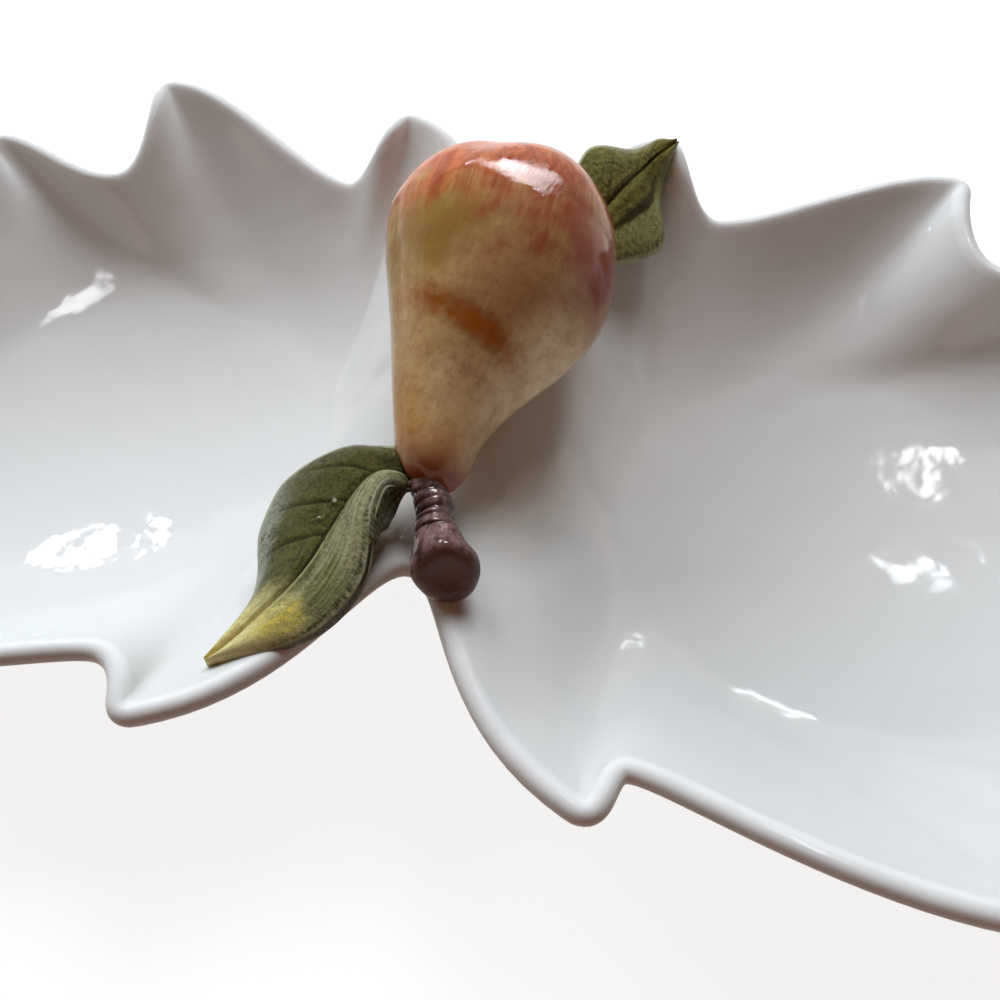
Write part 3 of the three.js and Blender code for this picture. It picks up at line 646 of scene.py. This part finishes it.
def makePear(material):
    around, along = pear["around"], pear["along"]
    distance = pear["length"] * (1 - np.cos(math.pi / 2 * np.arange(1, along + 1) / along))
    radius, lean = pearRadius(distance)
    angle = 2 * math.pi * np.arange(around) / around
    press = np.maximum(0, 1 - (radius / pear["dimpleRadius"]) ** 2) * (distance < pear["belly"])
    lift = distance + pear["dimpleDepth"] * press ** 2
    lobe = pear["lobeDepth"] * ease(distance, pear["belly"] * pear["lobeReach"], 0) * ease(radius, 0, pear["lobeFrom"])
    reach = radius[:, None] - lobe[:, None] * (0.5 + 0.5 * np.cos(pear["lobes"] * (angle - math.pi / 2)))
    for bearing, at, depth, width in pear["dents"]:
        turned = pear["radius"] * (angle - math.radians(bearing))
        reach = reach - depth * np.exp(-(turned[None, :] ** 2 + (distance[:, None] - at) ** 2) / width ** 2)
    local = np.stack([lean[:, None] + reach * np.cos(angle), reach * np.sin(angle),
                      np.repeat(lift[:, None], around, 1)], 2).reshape(-1, 3)
    wave = unevenness(local, pear["waveLength"], pear["waveSeed"]) * pear["handWave"]
    wave = wave * ease(np.repeat(radius, around), *pear["waveFrom"])
    local[:, :2] += unit(local[:, :2]) * wave[:, None]
    local = np.vstack([local, [[0, 0, pear["dimpleDepth"]], [lean[-1], 0, pear["length"]]]])
    points = local @ pearTurn.T + pearStart
    piece = clayPiece("pearBody", points, joinRows(along, around), material, {})
    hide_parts("pear_body")


makePear(makePearGlaze())


# Stem from the neck to the near notch

stem = {
    "radius": 4.3, "flare": 2.6, "flareStart": 0.55, "root": 5,
    "bend": [(2.4, -5, -1), (5, -11.5, -1.2)], "end": (8.8, -19, 0), "cut": (0.3, -0.82, 0.5),
    "wrinkles": [(0.3, 0.8, 0.02), (0.4, 0.5, 0.014), (0.5, 1.0, 0.022), (0.57, 0.5, 0.012), (0.7, 0.7, 0.02)],
    "wrinkleSkew": (0.6, 0.4, 0.05),  # their mean depth, its change round the stem, and the turn of that per row
    "poolDepth": 0.5,  # mm of wrinkle that the dark glaze fills
    "knots": 0.3, "knotLength": 6, "knotSeed": 21,
    "lip": 1.3, "lipRise": 2.5, "hollow": 0.7, "hollowFrom": (0.3, 0.9), "faceReach": 0.93,
    "faceLine": (0.5, 0.33, 0.06),  # dark ring on the cut: strength, place, width
    "around": 72, "along": 110, "faceRings": 10,
}

stemGlaze = {
    "body": tone(126, 96, 95), "dark": tone(52, 33, 33), "warm": tone(162, 124, 112), "cutFace": tone(86, 48, 40),
    "cloudScale": 260.0, "streakShare": 0.35, "strokeShare": 0.55, "poolShare": 0.85,
    "streaks": {"Stretch": (900.0, 160.0, 500.0), "Sharpness": 0.3},
    "strokes": {"Stretch": (1500.0, 190.0, 1000.0), "Sharpness": 0.4},
    "roughness": (0.08, 0.2), "cutRoughness": 0.5, "shine": 0.4, "relief": (0.0006, 0.7),
    "surface": {"Wave": 240.0, "Peel": 900.0, "PeelShare": 0.2},
}


def makeStemGlaze():
    glaze = stemGlaze
    material, shader, place = newGlaze("stemGlaze")
    spot = mapParts(place, "stemMap")  # share of the length, past 1 on the cut; and the depth of a wrinkle
    cloud = noise(place, glaze["cloudScale"], 5.0, 0.65)
    streaks, strokes = (useGroup(brushStreaks, Place=place, **glaze[k]) for k in ("streaks", "strokes"))
    face = times(spread(spot["X"], 1.0, 1.2), spread(cloud, 0.2, 0.8, 1.0, 0.75))
    colour = coats(glaze, glaze["body"], (spread(cloud, 0.4, 0.65), "dark"),
                   (times(streaks, glaze["streakShare"]), "warm"),
                   (times(strokes, glaze["strokeShare"]), "dark"), (face, "cutFace"),
                   (times(spot["Y"], glaze["poolShare"]), "dark"))
    rough = spread(cloud, 0.3, 0.7, *glaze["roughness"])
    rough = math2("MAXIMUM", rough, times(face, glaze["cutRoughness"]))
    finishGlaze(shader, place, glaze, colour, rough)
    return material


def makeStem(material):
    around, along, faceRings = stem["around"], stem["along"], stem["faceRings"]
    axis = pearTurn[:, 2]
    line = [-axis * stem["root"], np.zeros(3)] + [np.array(p, float) for p in stem["bend"] + [stem["end"]]]
    shares = np.linspace(0, 1, along + 1)
    middle = rail(line, shares)
    tangent = unit(np.gradient(middle, axis=0))
    cut = unit(np.array(stem["cut"]))
    turn = ease(shares, stem["flareStart"], 1)
    looks = unit(tangent + (cut - tangent) * turn[:, None])
    dent = sum(depth * np.exp(-((shares - at) / width) ** 2) for at, depth, width in stem["wrinkles"])
    radius = stem["radius"] + stem["flare"] * turn
    rows, groove = [], []
    angle = 2 * math.pi * np.arange(around) / around
    mean, change, twist = stem["wrinkleSkew"]
    for i in range(along + 1):
        side = unit(np.cross([0, 0, 1], looks[i]))
        top = np.cross(looks[i], side)
        ring = np.outer(np.cos(angle), side) + np.outer(np.sin(angle), top)
        skew = mean + change * np.sin(angle * 2 + i * twist)
        spots = middle[i] + ring * (radius[i] - dent[i] * skew)[:, None]
        knots = unevenness(spots, stem["knotLength"], stem["knotSeed"]) * stem["knots"]
        rows.append(spots + ring * knots[:, None])
        groove.append(np.clip(dent[i] * skew / stem["poolDepth"], 0, 1))
    centre, outer = middle[-1], rows[-1]
    strength, lineAt, lineWidth = stem["faceLine"]
    faceShares = np.arange(1, faceRings + 1) / faceRings
    for share in faceShares:
        swell = stem["lip"] * math.sin(min(share * stem["lipRise"], 1) * math.pi / 2)
        swell -= stem["hollow"] * float(ease(share, *stem["hollowFrom"]))
        rows.append(centre + (outer - centre) * (1 - stem["faceReach"] * share) + cut * swell)
        groove.append(np.full(around, strength * math.exp(-((share - lineAt) / lineWidth) ** 2)))
    points = np.vstack(rows + [[line[0]], [centre + cut * (stem["lip"] - stem["hollow"])]]) + neckEnd
    travel = np.concatenate([shares, 1 + faceShares])
    maps = np.stack([np.repeat(travel, around), np.concatenate(groove)], 1)
    maps = np.vstack([maps, [[0, 0], [2, 0]]])
    piece = clayPiece("pearStem", points, joinRows(len(rows), around), material, {"stemMap": maps})
    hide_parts("pear_stem")


makeStem(makeStemGlaze())


# Leaves beside the pear

leafShape = {
    "thickness": 2.6, "bow": 1.6, "edgeThinning": 0.45, "tipThinning": 0.6, "tipFrom": 0.75,
    "rib": (-0.02, 0.025), "ribEnd": (0.95, 0.7),  # place and width across; where it fades along
    "veinWidth": 0.009, "veinCurve": 0.85, "rightVeins": (0.03, 0.3),  # on the right half further along and fainter
    "pillow": (0.3, 0.12, 0.06),  # swelling beside the rib: mm, place, width
    "curlStart": (0, 0.24), "curlEnd": (0.55, 0.3), "curlLeast": 0.05,
    "beadHeight": 0.8, "beadPale": 0.15, "handWave": 0.15, "waveLength": 14,
    "along": 110, "half": 34, "edgeSteps": 4,
}

frontLeaf = {
    "midrib": [(-5, 1, 1), (-12.7, -1.1, -0.5), (-17.8, -11.3, -2.8), (-21.3, -23.8, -4), (-36, -44.5, -9.5)],
    "left": [(-8.9, 7.6, 2.9), (-23, 9.5, -3.3), (-37.4, 2.3, -11.4), (-38.2, -9.9, -12.8), (-32.5, -26.1, -10),
             (-36, -44.5, -9.5)],
    "right": [(-3.5, -1, 2), (-7.7, -3.4, 6.2), (-7.6, -11.3, 6.7), (-6.9, -23.9, 1.5), (-13.9, -35.1, -3.8),
              (-36, -44.5, -9.5)],
    "veins": [0.16, 0.36, 0.54], "veinLean": 0.2, "veinDepth": 0.55, "ribDepth": 0.55,
    "ruffle": 0.35, "ruffles": 2.3, "seed": 31,
    "curl": (1, -1.5, -8.5), "curlSteps": 12,  # the right margin turns down near the pear
    "beads": [(-0.12, 0.4, 1.0), (-0.16, 0.5, 0.9)],  # drops of slip: across, along, radius in mm
}

rearLeaf = {
    "midrib": [(-22.7, -39.1, -9.7), (-8.9, -20.8, 0.8), (-5.2, -13, 1), (1.9, -3.7, 2.8)],
    "left": [(-24.7, -33.1, -3.7), (-20.8, -11.9, 3.8), (-9.4, -6.3, 1.2), (-3.1, -2.4, 2), (1.9, -3.7, 2.8)],
    "right": [(-18.7, -42.1, -12.7), (-4.7, -36.9, -10.1), (2.1, -30.1, -10.4), (-0.5, -18.2, -6.5), (1.2, -8.8, -0.3),
              (1.9, -3.7, 2.8)],
    "veins": [0.2, 0.42, 0.62], "veinLean": 0.2, "veinDepth": 0.35, "ribDepth": 0.6,
    "ruffle": 0.3, "ruffles": 1.8, "seed": 47, "curlSteps": 0, "beads": [],
}

leafGlaze = {  # shared by both leaves
    "stippleScale": 950.0, "cloudScale": 150.0, "pitShare": 0.8, "markHeight": -0.3, "hatchShare": 0.35,
    "hatch": {"Stretch": (6.0, 1.0, 120.0), "Sharpness": 0.25},
    "strokes": {"Stretch": (13.0, 1.0, 3.2), "Sharpness": 0.35}, "strokeShare": (0.04, 0.6), "poolShare": 0.85,
    "roughness": (0.12, 0.26), "shine": 0.25, "relief": (0.0006, 0.7),
    "surface": {"Wave": 320.0, "Peel": 1100.0, "PeelShare": 0.35},
}

frontLeafPaint = {
    "body": tone(86, 84, 36), "pit": tone(34, 32, 11), "crest": tone(178, 176, 132), "pooled": tone(30, 27, 12),
    "pale": tone(186, 186, 152), "rib": tone(170, 166, 118), "ribShare": 0.75, "strokesFrom": (0.08, 0.35),
    "patches": [
        patch(tone(142, 138, 100), (0.6, 0, 0.45), (0.6, 1, 0.5), 0.5, 0.06),
        patch(tone(152, 156, 130), (-1.0, 0, 0.62), (0.45, 1, 0.3), 0.6, 0.06),
        patch(tone(92, 100, 40), (0.55, 0, 0.7), (0.5, 1, 0.16), 0.7, 0.12),
        patch(tone(236, 222, 150), (0.0, 0, 1.0), (1.8, 1, 0.26), 0.6, 0.05),
        patch(tone(222, 198, 60), (0.5, 0, 0.84), (0.55, 1, 0.08), 0.8, 0.08, grain=5.0),
    ],
}

rearLeafPaint = {
    "body": tone(112, 104, 48), "pit": tone(46, 42, 16), "crest": tone(150, 148, 90), "pooled": tone(32, 28, 12),
    "pale": tone(190, 192, 152), "rib": tone(120, 116, 66), "ribShare": 0.2, "strokesFrom": (0.4, 0.6),
    "patches": [
        # painted light: the turned-up lower lobe made paler where it catches the light
        patch(tone(176, 180, 114), (0.85, 0, 0.3), (0.5, 1, 0.42), 0.35, 0.06),
        # painted shade: a dark band along the fold beside the rib
        patch(tone(50, 46, 20), (0.4, 0, 0.35), (0.12, 1, 0.4), 0.7, 0.08),
        patch(tone(112, 108, 52), (-0.7, 0, 0.25), (0.5, 1, 0.4), 0.6, 0.08),
    ],
}


def makeLeafGlaze(name, paint):
    glaze = leafGlaze
    material, shader, place = newGlaze(name)
    spot, relief = mapParts(place, "leafMap"), mapParts(place, "reliefMap")  # across and along; groove and margin
    across = addTimes(spot["X"], 2.0, -1.0)
    own = put("ShaderNodeCombineXYZ", {"X": across, "Z": spot["Y"]}).outputs[0]
    stipple = noise(place, glaze["stippleScale"], 4.0, 0.75)
    cloud = noise(place, glaze["cloudScale"], 4.0, 0.6)
    colour = paintOver(paint["body"], own, paint["patches"])
    hatch, strokes = (useGroup(brushStreaks, Place=own, **glaze[k]) for k in ("hatch", "strokes"))
    onTip = spread(spot["Y"], 0.7, 0.95, 1.0, 0.3)
    dark = times(spread(stipple, 0.44, 0.56), spread(cloud, 0.3, 0.65, 0.5, 1.0))
    dark = times(math2("MAXIMUM", dark, times(hatch, glaze["hatchShare"])), onTip)
    rightHalf = spread(across, *paint["strokesFrom"], *glaze["strokeShare"])
    margin = times(spread(across, 0.8, 0.97), hatch)
    rib = times(spread(across, 0.01, 0.05), spread(across, 0.09, 0.16, 1.0, 0.0))
    pooled = spread(relief["X"], 0.15, 0.8, 0.0, glaze["poolShare"])
    paleMarginAndRimHighlight = times(spread(relief["Y"], 0.93, 1.0), spread(cloud, 0.3, 0.6, 0.2, 0.8))
    colour = coats(paint, colour, (times(dark, glaze["pitShare"]), "pit"),
                   (times(strokes, rightHalf), "crest"), (times(margin, onTip), "pit"),
                   (times(rib, paint["ribShare"]), "rib"), (pooled, "pooled"), (paleMarginAndRimHighlight, "pale"))
    rough = spread(cloud, 0.3, 0.7, *glaze["roughness"])
    finishGlaze(shader, place, glaze, colour, rough, dark)
    return material


def marginShare(across):  # 1 on the margin, less towards the rib and past the margin
    return np.where(across > 1, 2 - across, np.abs(across))


def makeLeaf(name, form, origin, material, node):
    shape = leafShape
    along, half, edgeSteps, curlSteps = shape["along"], shape["half"], shape["edgeSteps"], form["curlSteps"]
    shares = np.arange(along) / along
    midrib, left, right = (rail(form[k], shares) for k in ("midrib", "left", "right"))
    heading = unit(np.gradient(midrib, axis=0))
    toLeft, toRight = left - midrib, right - midrib
    leftFace, rightFace = unit(np.cross(toLeft, heading)), unit(np.cross(heading, toRight))
    both = unit(leftFace + rightFace)
    columns = np.arange(-half, half + curlSteps + 1) / half  # past 1 the margin turns down
    least = shape["curlLeast"]
    folded = least + (1 - least) * ease(shares, *shape["curlEnd"]) * ease(shares, *shape["curlStart"])
    ribAt, ribWidth = shape["rib"]
    pillowHeight, pillowAt, pillowWidth = shape["pillow"]
    top, under, topGroove, upward = [], [], [], []
    for column in columns:
        column, past = min(column, 1), max(column - 1, 0) * half / max(curlSteps, 1)
        out = abs(column)
        face = unit(both + ((leftFace if column < 0 else rightFace) - both) * out)
        face = np.where(face[:, 2:] < 0, -face, face)
        spot = midrib + (toLeft if column < 0 else toRight) * out + face * shape["bow"] * 4 * out * (1 - out)
        ruffle = form["ruffle"] * out ** 3 * np.sin(2 * math.pi * form["ruffles"] * shares + column * 2.0)
        spot = spot + face * (ruffle * ease(shares, 0, 0.15) * ease(shares, 1, 0.85))[:, None]
        if past:
            spot = spot + np.array(form["curl"]) * (past * folded)[:, None]
            face = unit(face + (flat(toRight) - face) * (ease(past, 0, 0.4) * ease(folded, least, 0.3))[:, None])
        rib = np.exp(-((column - ribAt) / ribWidth) ** 2) * ease(shares, *shape["ribEnd"])
        further, strength = shape["rightVeins"] if column > 0 else (0, 1)
        side = np.zeros(along)
        for start in form["veins"]:
            at = start + further + form["veinLean"] * out ** shape["veinCurve"]
            side = np.maximum(side, np.exp(-((shares - at) / shape["veinWidth"]) ** 2) * (1 - out ** 3) * strength)
        groove = np.maximum(rib * form["ribDepth"], side * form["veinDepth"])
        pillow = pillowHeight * np.exp(-((out - pillowAt) / pillowWidth) ** 2) * ease(shares, 1, 0.8)
        thick = shape["thickness"] * (1 - shape["edgeThinning"] * out * out)
        thick = thick * (1 - shape["tipThinning"] * ease(shares, shape["tipFrom"], 1))
        top.append(spot + face * (thick / 2 - groove + pillow)[:, None])
        under.append(spot - face * thick[:, None] / 2)
        topGroove.append(groove / form["ribDepth"])
        upward.append(face)
    top, under, topGroove, upward = (np.array(lines) for lines in (top, under, topGroove, upward))
    pale = np.repeat(marginShare(columns)[:, None], along, 1)
    for out, at, radius in form["beads"]:
        centre = top[round((out + 1) * half), round(at * along)]
        inside = np.clip(1 - (np.linalg.norm(top - centre, axis=2) / radius) ** 2, 0, 1)
        top = top + upward * (np.sqrt(inside) * radius * shape["beadHeight"])[:, :, None]
        pale = np.maximum(pale, inside > shape["beadPale"])

    def edgeRoll(fromLine, toLine, outward):  # rounded margin between the two faces
        middle, reach = (fromLine + toLine) / 2, (fromLine - toLine) / 2
        size = np.linalg.norm(reach, axis=1, keepdims=True)
        angles = np.linspace(0, math.pi, edgeSteps + 2)[1:-1]
        return [middle + reach * math.cos(a) + unit(outward) * size * math.sin(a) for a in angles]

    rightRoll = edgeRoll(top[-1], under[-1], top[-1] + under[-1] - top[-2] - under[-2])
    leftRoll = edgeRoll(under[0], top[0], toLeft)
    loop = np.concatenate([top, rightRoll, under[::-1], leftRoll])  # column, share, xyz
    across = np.concatenate([columns, np.full(edgeSteps, columns[-1]), columns[::-1], -np.ones(edgeSteps)])
    groove = np.concatenate([topGroove, np.zeros((edgeSteps * 2 + len(columns), along))])
    pale = np.concatenate([pale, np.repeat(marginShare(across)[len(columns):, None], along, 1)])
    count = len(loop)
    points = np.vstack([loop.transpose(1, 0, 2).reshape(-1, 3), [midrib[0]], [form["midrib"][-1]]]) + origin
    wave = unevenness(points, shape["waveLength"], form["seed"]) * shape["handWave"]
    points = points + wave[:, None] * (0, 0, 1)
    leafMap = np.stack([np.tile(across * 0.5 + 0.5, along), np.repeat(shares, count)], 1)
    reliefMap = np.stack([groove.T.ravel(), pale.T.ravel()], 1)
    maps = {"leafMap": np.vstack([leafMap, [[0.5, 0], [0.5, 1]]]),
            "reliefMap": np.vstack([reliefMap, [[0, 0], [0, 1]]])}
    piece = clayPiece(name, points, joinRows(along, count), material, maps)
    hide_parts(node)


farTip, farLift = dish["farTeeth"]["right"][0][:2]
farFirstTip = leafPlace(farTip, dish["farDepth"], farLift)
makeLeaf("frontLeaf", frontLeaf, neckEnd, makeLeafGlaze("frontLeafGlaze", frontLeafPaint), "front_leaf")
makeLeaf("rearLeaf", rearLeaf, farFirstTip, makeLeafGlaze("rearLeafGlaze", rearLeafPaint), "rear_leaf")


# Floor, light and camera

daylight, pearDaylight = (0.94, 0.97, 1.0), (0.96, 0.95, 1.0)

studio = {
    "floorColour": (0.3, 0.3, 0.3, 1), "floorRoughness": 0.9, "floorTurns": 96,
    "floorLift": 0.86, "floorMirror": (0.85, 0.69, 0.58, 1),  # glow as seen, and its warmer tint in reflections
    "floorProfile": [(0.8, 0), (1.6, 0), (1.8, 0.02), (2.0, 0.08), (2.2, 0.2), (2.35, 0.4), (2.43, 0.7), (2.45, 1.05)],
    "roomColour": (1.0, 0.68, 0.48, 1), "roomStrength": 0.045,
    "softLamps": [  # place in metres, size, power, colour; they light the clay but don't mirror in the glaze
        ("wideWindow", (-0.58, 0.47, 0.55), (0.75, 0.7), 7.9, (0.833, 0.926, 1.015)),
        ("backWindow", (0.05, 0.6, 0.68), (0.4, 0.4), 6.1, (0.85, 0.936, 1.015)),
        ("warmRoom", (0.1, -0.68, 0.61), (0.9, 0.6), 0.75, (1.0, 0.4, 0.18)),
    ],
    "dishPanes": [  # window panes that mirror in the dish and the leaves, then what each is aimed at and its beam
        ("topRightPane", (0.16, 0.245, 0.884), (0.045, 0.13), 0.26, daylight, (0.12, 0.02, 0.01)),
        ("rightPane", (0.2, 0.47, 0.768), (0.06, 0.07), 0.19, daylight, (0.12, 0, 0.01)),
        ("lowPane", (0.333, 0.745, 0.349), (0.05, 0.08), 0.00016, daylight, (0.0816, -0.0527, 0.0175), 4),
        ("topLeftPane", (-0.206, -0.064, 0.911), (0.1, 0.17), 0.015, daylight, (-0.137, 0.038, 0.02), 26),
        ("leftPane", (-0.607, 0.585, 0.405), (0.04, 0.1), 0.16, (0.92, 0.96, 1.0), (-0.1, -0.04, 0.01)),
    ],
    "stemPanes": [  # one that mirrors in the stem
        ("stemPane", (-0.01, 0.53, 0.74), (0.26, 0.36), 9.0, (0.96, 0.97, 1.0)),
    ],
    "pearPanes": [  # and those that mirror in the pear
        ("pearPane", (0.13, 0.69, 0.6), (0.46, 0.26), 4.6, pearDaylight),
        ("pearSidePane", (-0.077, 0.723, 0.621), (0.28, 0.13), 1.3, pearDaylight),
        ("pearLowPane", (-0.367, 0.878, 0.528), (0.24, 0.05), 0.3, pearDaylight),
    ],
    "mirrors": {"dishPanes": ("leafDish", "frontLeaf", "rearLeaf"), "stemPanes": ("pearStem",),
                "pearPanes": ("pearBody",)},
}


def makeFloor():  # round floor that curves up into a low backdrop
    turns, white = studio["floorTurns"], (1, 1, 1, 1)
    points, faces = [(0, 0, 0)], fan(0, 1, turns)
    for k, (reach, height) in enumerate(studio["floorProfile"]):
        points += [(reach * math.cos(2 * math.pi * i / turns), reach * math.sin(2 * math.pi * i / turns), height)
                   for i in range(turns)]
        if k:
            faces += bridge(1 + (k - 1) * turns, 1 + k * turns, turns)
    mesh = bpy.data.meshes.new("paleFloor")
    mesh.from_pydata(points, [], faces)
    mesh.polygons.foreach_set("use_smooth", np.ones(len(mesh.polygons), bool))
    material = bpy.data.materials.new("paleFloor")
    material.use_nodes = True
    tree = material.node_tree
    path = tree.nodes.new("ShaderNodeLightPath").outputs
    glow = blendColour(path["Is Camera Ray"], studio["floorMirror"], white)
    shown = math2("MAXIMUM", path["Is Camera Ray"], path["Is Glossy Ray"])
    looks = {"Base Color": studio["floorColour"], "Roughness": studio["floorRoughness"], "Specular IOR Level": 0.0,
             "Emission Color": glow, "Emission Strength": times(shown, studio["floorLift"])}
    for socket, value in looks.items():
        feed(tree.nodes["Principled BSDF"].inputs[socket], value)
    mesh.materials.append(material)
    floor = addObject("paleFloor", mesh)


def makeLamp(name, place, size, power, colour, aim=(0, 0, 0.03), beam=180):  # a narrow beam mirrors in one spot only
    data = bpy.data.lights.new(name, "AREA")
    data.shape = "RECTANGLE"
    data.size, data.size_y = size
    data.energy = power
    data.spread = math.radians(beam)
    data.color = colour
    lamp = addObject(name, data)
    lamp.location = place
    lamp.rotation_euler = (Vector(place) - Vector(aim)).to_track_quat("Z", "Y").to_euler()
    return lamp


def makeRoom():
    world = bpy.data.worlds.new("studioRoom")
    bpy.context.scene.world = world
    world.use_nodes = True
    ambient = world.node_tree.nodes["Background"]
    ambient.inputs["Color"].default_value = studio["roomColour"]
    ambient.inputs["Strength"].default_value = studio["roomStrength"]
    for lamp in studio["softLamps"]:
        makeLamp(*lamp).visible_glossy = False
    for panes, pieces in studio["mirrors"].items():
        shown = bpy.data.collections.new(panes)
        for name in pieces:
            shown.objects.link(bpy.data.objects[name])
        for pane in studio[panes]:
            lamp = makeLamp(*pane)
            lamp.visible_diffuse = False
            lamp.light_linking.receiver_collection = shown


cameraView = {  # place in mm, angles in degrees
    "place": (48.816, -133.018, 211.716), "pitch": 55.4537, "azimuth": 16.8985, "roll": -4.90195,
    "lens": 32.4, "sensor": 36, "nearest": 0.01,
}


def makeCamera():
    pitch, azimuth, roll = (math.radians(cameraView[k]) for k in ("pitch", "azimuth", "roll"))
    turn = Matrix.Rotation(azimuth, 4, "Z") @ Matrix.Rotation(math.pi / 2 - pitch, 4, "X")
    turn = turn @ Matrix.Rotation(roll, 4, "Z")
    data = bpy.data.cameras.new("photoView")
    data.sensor_fit = "HORIZONTAL"
    data.sensor_width = cameraView["sensor"]
    data.lens = cameraView["lens"]
    data.clip_start = cameraView["nearest"]
    camera = addObject("photoView", data)
    camera.matrix_world = Matrix.Translation(Vector(cameraView["place"] + frameShift) * mm) @ turn
    bpy.context.scene.camera = camera


makeFloor()
makeRoom()
makeCamera()
bpy.context.scene.view_settings.view_transform = "Standard"
print("floor, windows and camera in place")
